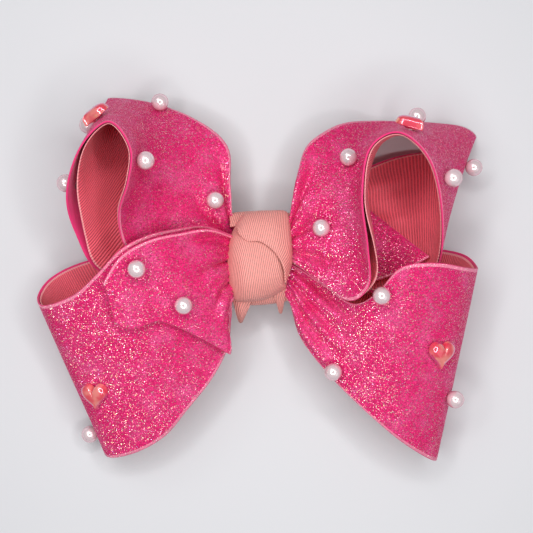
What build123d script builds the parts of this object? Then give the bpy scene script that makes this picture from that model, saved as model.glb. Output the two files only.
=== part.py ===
"""Cheer hair bow: four lined ribbon loops, two tails, a knotted centre, pearls, hearts and a clip.

The bow lies on its back. +Z is the way its front faces, +Y is up when it is worn, and X runs across it.
The origin is on the flat underside of the clip's moving jaw, straight behind the knot. Millimetres.
"""

import os
from math import exp

from build123d import *

os.makedirs("parts", exist_ok=True)

# ------------------------------------------------------------------ overall size
bow_width = 206.0
bow_height = 170.0
bow_depth = 70.0

# Loop stations below are drawn on a bow of this size, and stretched to the size above.
drawn_size = Vector(206.0, 170.0, 70.0)
drawn_ribbon = 75.0

# ------------------------------------------------------------------ ribbons
ribbon_width = 75.0
velvet_thickness = 0.8
lining_thickness = 0.4
lining_gap = 1.4  # air between the velvet and the loose lining, which holds the rivet heads
waist_gap = 0.3  # the same in the gathered waist
gap_opens_over = 1.5  # stations from the knot to where the lining hangs loose
samples_per_span = 2
lining_inset = 0.8  # the lining stops this far inside each edge of the velvet

# ------------------------------------------------------------------ clip
jaw_length = 50.0  # from the pivot to the tip
jaw_width = 9.0
jaw_metal = 0.8
jaw_height = 8.8  # outside of one jaw to the outside of the other at the pivot
jaw_tail = 16.0  # from the pivot to the thumb end
jaw_end_radius = 2.0
tip_gap = 0.3
ear_radius = 2.2
ear_metal = 0.6
ear_clearance = 0.25
pin_radius = 1.0
pin_fit = 0.06
pin_head_radius = 1.6
pin_head_height = 0.6
pin_head_room = 0.15
spring_wire = 0.6
spring_turns = 3
spring_pitch = 0.9
spring_clearance = 0.3
spring_leg = 9.0  # from the pivot to the end of each leg
leg_clearance = 0.1

# ------------------------------------------------------------------ waist and knot
slot_pitch = 3.5  # between the levels of two ribbon runs in the waist, on a bow of the drawn depth
slot_count = 5
waist_clearance = 1.2
pivot_room = 2.0  # from the end of the knot to the pivot's ears, and to the slope of the jaw
waist_half_height = 15.0
meet_gap = 0.6  # between the runs of the left and right loops, under the thread
wrap_exit = 12.0  # half the width of the knot, where the runs come out
wrap_half_height = 19.2
wrap_wall = 1.2
wrap_clearance = 0.5
wrap_corner = 4.0
knot_levels = ((0.0, 28.0, 40.5), (4.0, 29.0, 41.5), (8.0, 21.0, 31.0))  # height, width, length
knot_corner = 7.0
thread_radius = 0.5
thread_turns = 3
thread_pitch = 1.6
thread_clearance = 1.0
thread_corner = 0.8

# ------------------------------------------------------------------ trims
pearl_diameter = 8.0
pearl_clearance = 0.05
heart_width = 12.5
heart_thickness = 4.5
heart_clearance = 0.9  # the flat back of a heart stands this far off the curved ribbon
heart_tip_radius = 2.2
heart_cleft_radius = 0.8
heart_dome_radius = 9.0  # the dome is part of a ball of this radius
heart_rivet_depth = 2.0
rivet_radius = 0.6
rivet_fit = 0.05
rivet_head_radius = 1.5
rivet_head_height = 0.3
rivet_head_room = 0.30  # under the flat head, where the velvet curves
rivet_depth = 3.0  # depth of the rivet's hole in a pearl
rivet_end_room = 0.2  # between the end of a rivet and the bottom of its hole

# ------------------------------------------------------------------ worked out from the sizes above
waist_floor = jaw_height + waist_clearance
lowest_middle = velvet_thickness * 0.6  # the middle of the velvet stays this far above the floor
rivet_hole_length = velvet_thickness * 6  # passes through the velvet where it curves
thread_rounding = thread_radius * 0.8
pivot_x = wrap_exit + ear_radius + pivot_room
tip_slope_start = -wrap_exit - pivot_room  # where the fixed jaw starts to slope down to its tip
stretch = Vector(bow_width / drawn_size.X, bow_height / drawn_size.Y, bow_depth / drawn_size.Z)

LEFT = -1
RIGHT = 1


def slot_height(slot):
    """Level of a ribbon run in the waist. Slot 0 is next to the clip."""
    return waist_floor + slot_pitch * stretch.Z * (slot + 0.5)


def drawn(point):
    """A station point, stretched from the drawn size to the bow's size."""
    x, y, z = point
    return Vector(x * stretch.X, y * stretch.Y, z * stretch.Z)


def station(near, far):
    """One crossing of the ribbon, from the edge by the opening to the other edge."""
    near, far = drawn(near), drawn(far)
    middle = (near + far) / 2
    half = (far - near) / 2 * (ribbon_width / drawn_ribbon)
    low = min((middle - half).Z, (middle + half).Z)
    lift = Vector(0, 0, max(0, lowest_middle - low))
    return middle - half + lift, middle + half + lift


def root(side, slot, near_y, far_y):
    """The two stations where a run comes out of the knot and where it ends in the waist."""
    level = slot_height(slot)
    shrink = waist_half_height / max(abs(near_y), abs(far_y), waist_half_height)
    outside = (
        Vector(side * wrap_exit, near_y, level),
        Vector(side * wrap_exit, far_y, level),
    )
    inside = (
        Vector(side * meet_gap / 2, near_y * shrink, level),
        Vector(side * meet_gap / 2, far_y * shrink, level),
    )
    return [inside, outside]


def smooth(points, place):
    """A point on the smooth curve through the points, at a place counted in spans."""
    last = len(points) - 1
    span = min(int(place), last - 1)
    t = place - span
    before = points[span - 1] if span > 0 else points[0] * 2 - points[1]
    start, end = points[span], points[span + 1]
    after = points[span + 2] if span + 2 <= last else points[last] * 2 - points[last - 1]
    return (
        start * 2
        + (end - before) * t
        + (before * 2 - start * 5 + end * 4 - after) * t**2
        + (start * 3 - before - end * 3 + after) * t**3
    ) / 2


class Ribbon:
    """A run of ribbon through its stations. u goes along it and v across it, both from 0 to 1."""

    def __init__(self, stations, returns=True):
        self.near = [pair[0] for pair in stations]
        self.far = [pair[1] for pair in stations]
        self.spans = len(stations) - 1
        self.returns = returns
        # The outside of a run that starts in front of the bow faces the front.
        self.side = 1
        if self.normal(1.5 / self.spans, 0.5).Z < 0:
            self.side = -1

    def point(self, u, v):
        place = u * self.spans
        near = smooth(self.near, place)
        return near + (smooth(self.far, place) - near) * v

    def normal(self, u, v):
        """The way the velvet faces."""
        step = 0.002
        along = self.point(min(u + step, 1), v) - self.point(max(u - step, 0), v)
        across = self.point(u, 1) - self.point(u, 0)
        return along.cross(across).normalized() * self.side

    def layer(self, node, thickness, inset=0.0, gap=0.0, sag=None):
        """A solid strip of this run: the velvet, or a lining that lies inside it past a gap."""
        rows = self.spans * samples_per_span
        with BuildPart() as strip:
            for row in range(rows + 1):
                u = row / rows
                near, far = self.point(u, 0), self.point(u, 1)
                across = (far - near).normalized()
                facing = self.normal(u, 0.5)
                middle = (near + far) / 2 - facing * self.depth(u, thickness, gap, sag)
                width = (far - near).length - 2 * inset
                with BuildSketch(Plane(origin=middle, x_dir=across, z_dir=across.cross(facing))):
                    Rectangle(width, thickness)
            loft()
        strip.part.label = node
        return strip.part

    def depth(self, u, thickness, gap, sag):
        """How far the middle of a layer lies inside the middle of the velvet."""
        if gap == 0:
            return 0
        from_knot = min(u, 1 - u) * self.spans if self.returns else u * self.spans
        open_share = min(1, max(0, (from_knot - 1) / gap_opens_over))
        air = waist_gap + (gap - waist_gap) * open_share
        if sag:
            place, reach, drop = sag
            air += drop * exp(-(((u - place) / reach) ** 2))
        return (velvet_thickness + thickness) / 2 + air


# ------------------------------------------------------------------ the runs of ribbon
# Each pair is a point by the loop's opening and the point straight across the ribbon from it.
upper_right = Ribbon(
    root(RIGHT, 4, -0.5, 14.5)
    + [
        station((27, -11, 35), (17, 36, 25)),
        station((39, -19, 46), (21, 50, 21)),
        station((47, -12, 55), (30, 58, 18)),
        station((46, 4, 61), (40, 63, 13)),
        station((43, 24, 66), (53, 65, 5)),
        station((46, 45, 67), (67, 65, 3)),
        station((59, 52, 65), (84, 64, 2)),
        station((73, 40, 58), (98, 62, 1)),
        station((80, 16, 46), (103, 57, 0)),
        station((80, -6, 30), (88, 52, 2)),
        station((68, -18, 19), (62, 47, 5)),
        station((44, -14, 17), (38, 35, 11)),
    ]
    + root(RIGHT, 1, -6, 12)[::-1]
)
upper_left = Ribbon(
    root(LEFT, 2, -1, 14.5)
    + [
        station((-34, -6, 26), (-14, 32, 22)),
        station((-51, -5, 35), (-14, 47, 21)),
        station((-59, 5, 45), (-19, 56, 19)),
        station((-60, 18, 56), (-30, 64, 16)),
        station((-55, 31, 65), (-43, 70, 11)),
        station((-54, 45, 68), (-55, 74, 6)),
        station((-63, 56, 67), (-66, 76, 3)),
        station((-76, 46, 60), (-73, 76, 1)),
        station((-84, 27, 49), (-62, 72, 1)),
        station((-82, 10, 36), (-47, 60, 3)),
        station((-72, -7, 25), (-32, 45, 7)),
        station((-42, -10, 18), (-20, 28, 12)),
    ]
    + root(LEFT, 1, -6, 12)[::-1]
)
lower_right = Ribbon(
    root(RIGHT, 3, -2, -18)
    + [
        station((30, -13, 28), (18, -36, 26)),
        station((42, -21, 38), (30, -52, 30)),
        station((51, -16, 47), (45, -67, 33)),
        station((61, -5, 52), (60, -80, 33)),
        station((76, -3, 51), (71, -88, 29)),
        station((91, -5, 42), (79, -93, 22)),
        station((99, -5, 26), (82, -94, 13)),
        station((96, 1, 11), (76, -89, 5)),
        station((82, 4, 5), (62, -76, 1)),
        station((60, 4, 5), (40, -56, 3)),
        station((36, 2, 12), (23, -33, 9)),
    ]
    + root(RIGHT, 0, -2, -16)[::-1]
)
lower_left = Ribbon(
    root(LEFT, 3, 10, -18)
    + [
        station((-25, 14, 31), (-14, -28, 25)),
        station((-38, 12, 39), (-15, -41, 27)),
        station((-49, 9, 46), (-22, -55, 28)),
        station((-60, 3, 50), (-33, -69, 28)),
        station((-71, -8, 47), (-43, -81, 26)),
        station((-82, -17, 41), (-56, -89, 23)),
        station((-97, -22, 31), (-69, -93, 17)),
        station((-103, -18, 18), (-73, -91, 9)),
        station((-99, -10, 9), (-66, -82, 3)),
        station((-86, -3, 5), (-50, -69, 1)),
        station((-62, 3, 6), (-34, -52, 3)),
        station((-34, 5, 9), (-20, -28, 7)),
    ]
    + root(LEFT, 0, 5, -14)[::-1]
)
left_tail = Ribbon(
    root(LEFT, 4, 9, -18)
    + [
        station((-24, 12, 37), (-14, -29, 32)),
        station((-36, 10, 44), (-13, -38, 32)),
        station((-48, 7, 50), (-14, -44, 33)),
        station((-60, 0, 53), (-24, -52, 34)),
        station((-68, -12, 52), (-36, -60, 35)),
        station((-73, -24, 48), (-47, -68, 34)),
    ],
    returns=False,
)
right_tail = Ribbon(
    root(RIGHT, 2, 10, -12)
    + [
        station((17, 20, 19), (30, -15, 22)),
        station((24, 31, 18), (48, -12, 24)),
        station((38, 41, 17), (66, -6, 26)),
        station((54, 50, 17), (82, 3, 27)),
    ],
    returns=False,
)

# The slanted cut of each tail, seen from the front, from its long edge to its short edge.
left_cut = [(-76, -2), (-67, -13), (-63, -28), (-55, -31), (-44, -28), (-29, -34), (-10, -45)]
right_cut = [(80, -2), (71, 5), (55, 18), (40, 30), (24, 42), (14, 52)]
cut_reach = 60.0  # how far past its line a cut clears


def trimmed(part, cut, direction):
    """A tail without the stretch past its cut line, which lies towards the direction given."""
    line = [Vector(x * stretch.X, y * stretch.Y) for x, y in cut]
    beyond = Vector(*direction) * cut_reach
    with BuildPart() as waste:
        with BuildSketch():
            with BuildLine():
                Spline(*line)
                Polyline(line[-1], line[-1] + beyond, line[0] + beyond, line[0])
            make_face()
        extrude(amount=bow_depth)
    return part - waste.part


# ==== make the pieces
pieces = []


def finish(part, node):
    """Label a piece and write it."""
    part.label = node
    export_step(part, f"parts/{node}.step")
    pieces.append(node)


def outward_plane(run, u, v, lift):
    """A plane over the velvet at a place on a run, facing out, with its Y side up the bow."""
    facing = run.normal(u, v)
    sideways = Vector(0, 1, 0).cross(facing)
    return Plane(origin=run.point(u, v) + facing * lift, x_dir=sideways, z_dir=facing)


# ------------------------------------------------------------------ pearls and hearts
pearl_radius = pearl_diameter / 2
velvet_face = velvet_thickness / 2
pearl_lift = velvet_face + pearl_clearance + pearl_radius
heart_lift = velvet_face + heart_clearance

# Run, its pearls and its hearts, each at a place along and across the ribbon.
trims = {
    "upper_left": (
        upper_left,
        [(0.42, 0.16), (0.16, 0.72), (0.42, 0.92), (0.62, 0.58), (0.67, 0.12)],
        [(0.57, 0.30)],
    ),
    "left_tail": (left_tail, [(0.69, 0.12), (0.62, 0.50)], []),
    "lower_left": (lower_left, [(0.60, 0.88)], [(0.50, 0.60)]),
    "upper_right": (
        upper_right,
        [(0.33, 0.66), (0.19, 0.46), (0.63, 0.13), (0.67, 0.68), (0.52, 0.62)],
        [(0.535, 0.24)],
    ),
    "lower_right": (
        lower_right,
        [(0.31, 0.06), (0.23, 0.87), (0.52, 0.66)],
        [(0.46, 0.46)],
    ),
}


def pearl(place):
    """A ball with a blind hole for its rivet, which faces the ribbon."""
    with BuildPart(place) as ball:
        Sphere(pearl_radius)
        with Locations((0, 0, -pearl_radius)):
            Cylinder(
                rivet_radius + rivet_fit,
                rivet_depth,
                align=(Align.CENTER, Align.CENTER, Align.MIN),
                mode=Mode.SUBTRACT,
            )
    return ball.part


def heart(place):
    """A domed heart with a flat back and a blind hole for its rivet."""
    side = heart_width / (1 + 2**0.5 / 2)
    lobe = side / 2
    lobe_offset = side * 2**0.5 / 4
    with BuildPart(place) as dome:
        with BuildSketch(place):
            Rectangle(side, side, rotation=45)
            with Locations((-lobe_offset, lobe_offset), (lobe_offset, lobe_offset)):
                Circle(lobe)
            fillet(vertices().sort_by(Axis.Y)[0], heart_tip_radius)
            fillet(vertices().group_by(Axis.X)[1].sort_by(Axis.Y)[-1], heart_cleft_radius)
        extrude(amount=heart_thickness)
        with Locations((0, 0, heart_thickness - heart_dome_radius)):
            Sphere(heart_dome_radius, mode=Mode.INTERSECT)
        Cylinder(
            rivet_radius + rivet_fit,
            heart_rivet_depth,
            align=(Align.CENTER, Align.CENTER, Align.MIN),
            mode=Mode.SUBTRACT,
        )
    return dome.part


def rivet(place, lift, depth):
    """A pin through the velvet into a trim, with its head on the inside of the velvet."""
    below = lift + velvet_thickness + rivet_head_room  # from the trim's back to the head
    with BuildPart(place) as pin:
        with Locations((0, 0, -below)):
            Cylinder(
                rivet_radius,
                below + depth - rivet_end_room,
                align=(Align.CENTER, Align.CENTER, Align.MIN),
            )
            Cylinder(
                rivet_head_radius,
                rivet_head_height,
                align=(Align.CENTER, Align.CENTER, Align.MAX),
            )
    return pin.part


def rivet_hole(place):
    """The hole that a rivet needs through the velvet."""
    with BuildPart(place) as hole:
        Cylinder(rivet_radius + rivet_fit, rivet_hole_length)
    return hole.part


# ------------------------------------------------------------------ ribbons with their trims
lining_sag = {
    "upper_left": (0.70, 0.07, 5.0),
    "upper_right": (0.30, 0.06, 2.5),
}
runs = {
    "upper_left": (upper_left, "upper_left_loop"),
    "upper_right": (upper_right, "upper_right_loop"),
    "lower_left": (lower_left, "lower_left_loop"),
    "lower_right": (lower_right, "lower_right_loop"),
    "left_tail": (left_tail, "left_tail"),
    "right_tail": (right_tail, "right_tail"),
}
cuts = {
    "left_tail": (left_cut, (-0.6, -0.8)),
    "right_tail": (right_cut, (0.6, 0.8)),
}

for name, (run, node) in runs.items():
    _, pearls, hearts = trims.get(name, (run, [], []))
    velvet = run.layer(node, velvet_thickness)
    rivets = []
    for number, (u, v) in enumerate(pearls, start=1):
        back = outward_plane(run, u, v, velvet_face + pearl_clearance)
        finish(pearl(back.offset(pearl_radius)), f"{name}_pearl_{number}")
        rivets.append(rivet(back, pearl_clearance, rivet_depth))
        velvet -= rivet_hole(back)
    for u, v in hearts:
        back = outward_plane(run, u, v, velvet_face + heart_clearance)
        finish(heart(back), f"{name}_heart")
        rivets.append(rivet(back, heart_clearance, heart_rivet_depth))
        velvet -= rivet_hole(back)
    if rivets:
        finish(Part() + rivets, f"{name}_rivets")
    if name in cuts:
        velvet = trimmed(velvet, *cuts[name])
    finish(velvet, node)
    lining = run.layer(
        f"{node}_lining",
        lining_thickness,
        inset=lining_inset,
        gap=lining_gap,
        sag=lining_sag.get(name),
    )
    if name in cuts:
        lining = trimmed(lining, *cuts[name])
    finish(lining, f"{node}_lining")

# ------------------------------------------------------------------ gather thread
bundle_low = slot_height(0) - velvet_face
bundle_high = slot_height(slot_count - 1) + velvet_face


def band(half_y, low, high, corner, half_x, wall, middle_x=0.0):
    """A closed band round the waist: its bore, its wall outside that, and its length along X."""
    height = high - low
    middle = Plane.YZ.offset(middle_x - half_x)
    with BuildPart() as ring:
        with BuildSketch(middle):
            with Locations((0, (low + high) / 2)):
                RectangleRounded(2 * (half_y + wall), height + 2 * wall, corner + wall)
                RectangleRounded(2 * half_y, height, corner, mode=Mode.SUBTRACT)
        extrude(amount=2 * half_x)
    return ring.part


with BuildPart() as gather_thread:
    for turn in range(thread_turns):
        add(
            band(
                waist_half_height + thread_clearance,
                bundle_low - thread_clearance,
                bundle_high + thread_clearance,
                thread_corner,
                thread_radius,
                2 * thread_radius,
                middle_x=(turn - (thread_turns - 1) / 2) * thread_pitch,
            )
        )
    fillet(gather_thread.edges(), thread_rounding)
finish(gather_thread.part, "gather_thread")

# ------------------------------------------------------------------ knotted centre
fixed_jaw_under = jaw_height - jaw_metal
wrap_low = fixed_jaw_under - wrap_clearance
wrap_high = bundle_high + thread_clearance + 2 * thread_radius + wrap_clearance
knot_base = wrap_high + wrap_wall / 2

with BuildPart() as centre_knot:
    add(band(wrap_half_height, wrap_low, wrap_high, wrap_corner, wrap_exit, wrap_wall))
    for height, width, length in knot_levels:
        with BuildSketch(Plane.XY.offset(knot_base + height)):
            RectangleRounded(width, length, knot_corner)
    loft()
finish(centre_knot.part, "centre_knot")

# ------------------------------------------------------------------ clip
pivot_z = jaw_height / 2
fixed_ear_inside = jaw_width / 2 - ear_metal
moving_half_width = fixed_ear_inside - ear_clearance
jaw_tip = pivot_x - jaw_length
jaw_end = pivot_x + jaw_tail


def pin_bore(radius):
    """A hole through everything along the pivot."""
    with BuildPart(Plane.XZ.shift_origin((pivot_x, 0, pivot_z))) as bore:
        Cylinder(radius, jaw_width * 2)
    return bore.part


def ear(outside, towards):
    """One ear of a jaw: a round end on the pivot and a leg to the jaw's strip."""
    with BuildPart() as plate:
        with BuildSketch(Plane.XZ.offset(-outside)):
            with Locations((pivot_x, pivot_z)):
                Circle(ear_radius)
            with Locations((pivot_x, (pivot_z + towards) / 2)):
                Rectangle(2 * ear_radius, abs(towards - pivot_z))
        extrude(amount=ear_metal)
    return plate.part


with BuildPart() as clip_fixed_jaw:
    with BuildSketch(Plane.XZ):
        with BuildLine():
            Polyline(
                (jaw_end, fixed_jaw_under),
                (jaw_end, jaw_height),
                (tip_slope_start, jaw_height),
                (jaw_tip, 2 * jaw_metal + tip_gap),
                (jaw_tip, jaw_metal + tip_gap),
                (tip_slope_start, fixed_jaw_under),
                close=True,
            )
        make_face()
    extrude(amount=jaw_width / 2, both=True)
    for ear_face in (jaw_width / 2, -fixed_ear_inside):
        add(ear(ear_face, fixed_jaw_under + jaw_metal / 2))
    add(pin_bore(pin_radius + pin_fit), mode=Mode.SUBTRACT)
    fillet(clip_fixed_jaw.edges().filter_by(Axis.Z).group_by(Axis.X)[-1], jaw_end_radius)
finish(clip_fixed_jaw.part, "clip_fixed_jaw")

with BuildPart() as clip_moving_jaw:
    with BuildSketch():
        with Locations(((jaw_tip + jaw_end) / 2, 0)):
            Rectangle(jaw_end - jaw_tip, 2 * moving_half_width)
        fillet(vertices(), jaw_end_radius)
    extrude(amount=jaw_metal)
    for ear_face in (moving_half_width, ear_metal - moving_half_width):
        add(ear(ear_face, jaw_metal / 2))
    add(pin_bore(pin_radius + pin_fit), mode=Mode.SUBTRACT)
finish(clip_moving_jaw.part, "clip_moving_jaw")

pin_head_inside = jaw_width / 2 + pin_head_room
with BuildPart() as clip_pivot_pin:
    with BuildSketch(Plane.XZ.shift_origin((pivot_x, 0, pivot_z))):
        Circle(pin_radius)
    extrude(amount=pin_head_inside + pin_head_height / 2, both=True)
    for head_face in (-pin_head_inside - pin_head_height, pin_head_inside):
        with BuildSketch(Plane.XZ.shift_origin((pivot_x, 0, pivot_z)).offset(head_face)):
            Circle(pin_head_radius)
        extrude(amount=pin_head_height)
finish(clip_pivot_pin.part, "clip_pivot_pin")

coil_radius = pin_radius + spring_clearance + spring_wire / 2
coil_half = spring_turns * spring_pitch / 2
leg_end_x = pivot_x + spring_leg
with BuildPart() as clip_spring:
    with BuildLine():
        coil = Helix(
            spring_pitch,
            2 * coil_half,
            coil_radius,
            center=(pivot_x, -coil_half, pivot_z),
            direction=(0, 1, 0),
        )
    with BuildSketch(Plane(origin=coil @ 0, z_dir=coil % 0)):
        Circle(spring_wire / 2)
    sweep(is_frenet=True)
    with BuildLine():
        leg_top = fixed_jaw_under - spring_wire / 2 - leg_clearance
        leg = Line(coil @ 1, (leg_end_x, coil_half, leg_top))
    with BuildSketch(Plane(origin=leg @ 0, z_dir=leg % 0)):
        Circle(spring_wire / 2)
    sweep(path=leg)
    with Locations(coil @ 1):
        Sphere(spring_wire / 2)
finish(clip_spring.part, "clip_spring")

leg_y = -coil_half - spring_wire - leg_clearance
with BuildPart() as clip_spring_leg:
    with BuildLine():
        leg = Line(
            (pivot_x, leg_y, pivot_z - coil_radius),
            (leg_end_x, leg_y, jaw_metal + spring_wire / 2 + leg_clearance),
        )
    with BuildSketch(Plane(origin=leg @ 0, z_dir=leg % 0)):
        Circle(spring_wire / 2)
    sweep()
finish(clip_spring_leg.part, "clip_spring_leg")

print(len(pieces), "pieces")
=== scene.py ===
"""Cheer hair bow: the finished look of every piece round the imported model, laid out as a Blender add-on."""

import functools
import math

import bmesh
import bpy
import numpy as np
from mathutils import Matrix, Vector


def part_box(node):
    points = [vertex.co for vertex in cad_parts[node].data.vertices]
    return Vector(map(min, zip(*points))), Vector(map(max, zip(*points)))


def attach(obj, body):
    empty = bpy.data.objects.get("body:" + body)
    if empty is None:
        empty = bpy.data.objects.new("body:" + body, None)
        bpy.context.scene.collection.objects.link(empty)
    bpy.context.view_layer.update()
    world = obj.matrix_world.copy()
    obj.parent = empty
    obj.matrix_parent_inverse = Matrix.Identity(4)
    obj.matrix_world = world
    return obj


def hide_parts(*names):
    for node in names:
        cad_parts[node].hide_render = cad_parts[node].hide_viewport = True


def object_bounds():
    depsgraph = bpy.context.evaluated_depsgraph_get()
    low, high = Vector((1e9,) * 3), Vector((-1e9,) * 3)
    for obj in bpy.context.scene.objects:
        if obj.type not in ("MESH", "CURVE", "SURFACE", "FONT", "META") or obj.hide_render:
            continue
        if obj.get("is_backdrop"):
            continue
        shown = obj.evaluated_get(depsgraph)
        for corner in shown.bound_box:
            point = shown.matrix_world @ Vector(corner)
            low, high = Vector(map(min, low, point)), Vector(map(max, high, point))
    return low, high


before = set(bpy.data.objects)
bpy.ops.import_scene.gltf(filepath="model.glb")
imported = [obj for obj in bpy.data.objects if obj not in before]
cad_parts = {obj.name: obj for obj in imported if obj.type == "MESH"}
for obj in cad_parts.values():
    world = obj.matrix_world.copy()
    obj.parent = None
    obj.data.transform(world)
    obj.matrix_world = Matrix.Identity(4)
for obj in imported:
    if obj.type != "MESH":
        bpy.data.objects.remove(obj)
cad_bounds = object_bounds()

bl_info = {
    "name": "Cheer Hair Bow",
    "version": (1, 0, 0),
    "blender": (4, 5, 0),
    "location": "View3D > Sidebar > Hair Bow",
    "description": "Builds a lined glitter-ribbon hair bow with a knotted centre, pearls and hearts",
    "category": "Add Mesh",
}

MM = 0.001
BODY = "bow"
LEFT = -1
RIGHT = 1
LINING_INSET = 0.8 * MM
KNOT_THICKNESS = 0.0006
KNOT_MIDDLE = (0, 0, 0.018)
HEART_WIDTH = 13.2 * MM
HEART_HEIGHT = 12.8 * MM
HEART_THICKNESS = 4.5 * MM
THREAD_RADIUS = 0.5 * MM
THREAD_TURNS = 3
FLOOR_DROP = 0.0002


# --- properties
def metres(name, words, value):
    """A length property."""
    return bpy.props.FloatProperty(name=name, description=words, default=value, unit="LENGTH")


class BowSizes(bpy.types.PropertyGroup):
    """Sizes that a maker of bows would change."""

    ribbon_width: metres("Ribbon width", "Width of the velvet ribbon", 0.075)
    velvet_thickness: metres("Velvet thickness", "Thickness of the outer ribbon", 0.0008)
    lining_thickness: metres("Lining thickness", "Thickness of the lining ribbon", 0.0004)
    lining_gap: metres("Lining gap", "Air between velvet and lining", 0.0010)
    pleat_depth: metres("Pleat depth", "Height of the gathers beside the knot", 0.0019)
    rib_pitch: metres("Rib pitch", "Distance between the ribs of the grosgrain", 0.00095)
    glitter_size: metres("Glitter size", "Width of one flake of glitter", 0.00042)


def colour(name, words, value):
    """A colour property."""
    return bpy.props.FloatVectorProperty(
        name=name, description=words, default=value, subtype="COLOR", size=3, min=0, max=1
    )


class BowColours(bpy.types.PropertyGroup):
    """Colours of the ribbons and trims."""

    velvet: colour("Velvet", "Pile of the outer ribbon", (0.88, 0.022, 0.19))
    velvet_pale: colour("Velvet sheen", "Rubbed, pale parts of the velvet", (0.93, 0.09, 0.30))
    selvage: colour("Selvage", "Woven edge of the velvet", (0.92, 0.24, 0.38))
    lining: colour("Lining", "Grosgrain inside the loops", (0.92, 0.105, 0.16))
    lining_edge: colour("Lining edge", "Pale edge of the lining", (0.95, 0.36, 0.38))
    knot: colour("Knot", "Grosgrain of the knotted centre", (0.84, 0.33, 0.29))
    pearl: colour("Pearl", "Pearls", (0.80, 0.60, 0.64))
    heart: colour("Heart", "Domed hearts", (0.80, 0.06, 0.10))
    floor: colour("Floor", "Plain surface under the bow", (0.62, 0.62, 0.64))


# --- smooth runs of ribbon
def catmull(points, places):
    """Points on the smooth curve through the given points, at places counted in spans."""
    points = np.asarray(points, float)
    padded = np.vstack([2 * points[0] - points[1], points, 2 * points[-1] - points[-2]])
    span = np.minimum(places.astype(int), len(points) - 2)
    t = (places - span)[..., None]
    a, b, c, d = (padded[span + k] for k in range(4))
    return (
        2 * b + (c - a) * t + (2 * a - 5 * b + 4 * c - d) * t**2 + (3 * b - a - 3 * c + d) * t**3
    ) / 2


def unit(vectors):
    return vectors / np.maximum(np.linalg.norm(vectors, axis=-1, keepdims=True), 1e-12)


def grid_normals(points):
    """Facing direction at every point of a grid."""
    along = np.gradient(points, axis=0)
    across = np.gradient(points, axis=1)
    return unit(np.cross(along, across))


WAIST_LEVELS = [11.75, 15.25, 18.75, 22.25, 25.75]
WAIST_END = 0.3
KNOT_EXIT = 12.0
WAIST_REACH = 15.0
ROWS_PER_SPAN = 10
RIBBON_COLUMNS = 76
BEND_ROWS = 6
LEAST_AIR = 0.0003
LEAST_DEPTH = 0.00065
CLOSED_EDGE = 0.006


def root(side, slot, near_y, far_y):
    """Stations inside the waist and at the side of the knot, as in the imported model."""
    level = WAIST_LEVELS[slot]
    shrink = WAIST_REACH / max(abs(near_y), abs(far_y), WAIST_REACH)
    inside = ((side * WAIST_END, near_y * shrink, level), (side * WAIST_END, far_y * shrink, level))
    outside = ((side * KNOT_EXIT, near_y, level), (side * KNOT_EXIT, far_y, level))
    return [inside, outside]


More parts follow.
